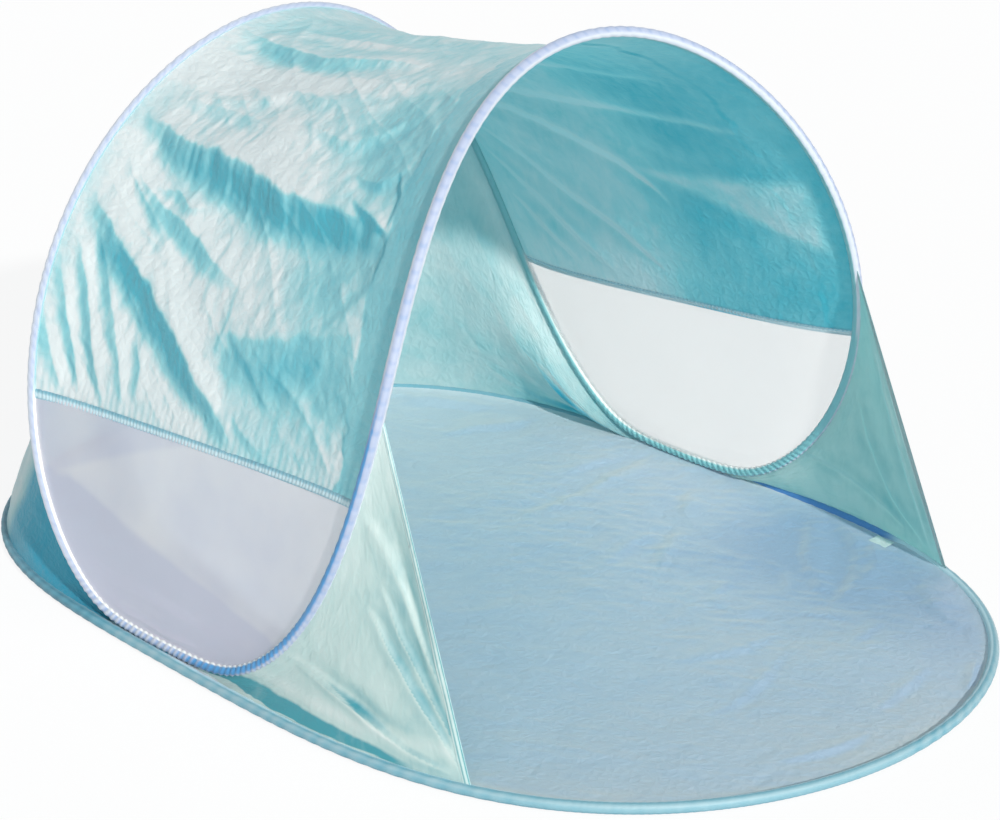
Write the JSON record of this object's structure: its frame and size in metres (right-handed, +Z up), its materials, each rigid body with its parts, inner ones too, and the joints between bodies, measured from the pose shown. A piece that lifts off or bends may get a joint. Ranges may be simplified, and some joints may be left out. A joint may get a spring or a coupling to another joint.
{
  "type": "beach_tent",
  "caption": "Pop-up beach tent with an oval groundsheet, a sprung canopy open at the front, side windows and a closed rear wall",
  "frame": {"origin": "on the ground, at the centre of the bottom face of the part's bounding box", "axes": "+X to the tent's right-hand side as one faces its rear wall, +Y towards the rear wall, +Z up; the open mouth faces -Y"},
  "size_m": [1.265, 1.9, 0.9782],
  "materials": {
    "spring_steel": "drawn spring wire",
    "ferrule_steel": "crimped steel tube",
    "aqua_binding": "matt woven polyester tape, lightly puckered",
    "white_binding": "matt woven polyester tape, lightly puckered",
    "groundsheet_cloth": "coated polyester, dusty blue, faintly wrinkled",
    "roof_cloth": "thin silky polyester, mint, soft sheen",
    "window_mesh": "fine pale grey mesh",
    "gathered_band": "gathered polyester seam band",
    "rear_wall_cloth": "thin silky polyester, teal where it is in shade",
    "gusset_cloth": "thin silky polyester, pale mint",
    "hem_cloth": "folded and twice-stitched hem",
    "tab_cloth": "plain blank label"
  },
  "bodies": {
    "rear_half": {"floor_wire_rear": "spring_steel", "canopy_wire_rear": "spring_steel", "floor_wire_ferrule": "ferrule_steel", "canopy_wire_ferrule": "ferrule_steel", "floor_sleeve_rear": "aqua_binding", "canopy_sleeve_rear": "white_binding", "groundsheet_rear": "groundsheet_cloth", "canopy_roof": "roof_cloth", "window_left": "window_mesh", "window_right": "window_mesh", "window_band_left": "gathered_band", "window_band_right": "gathered_band", "rear_wall": "rear_wall_cloth"},
    "front_half": {"floor_wire_front": "spring_steel", "canopy_wire_front": "spring_steel", "floor_sleeve_front": "aqua_binding", "canopy_sleeve_front": "white_binding", "groundsheet_front": "groundsheet_cloth", "gusset_left": "gusset_cloth", "gusset_right": "gusset_cloth", "gusset_hem_left": "hem_cloth", "gusset_hem_right": "hem_cloth", "floor_tab": "tab_cloth"}
  },
  "joints": [
    {"name": "fold", "type": "hinge", "parent": "rear_half", "child": "front_half", "pos_m": [0, 0.013, 0.02841], "axis": [-1, 0, 0], "range_deg": [0, 43], "stiffness_Nm_per_rad": 2, "deforming": ["canopy_roof", "window_left", "window_right", "window_band_left", "window_band_right"]}
  ]
}
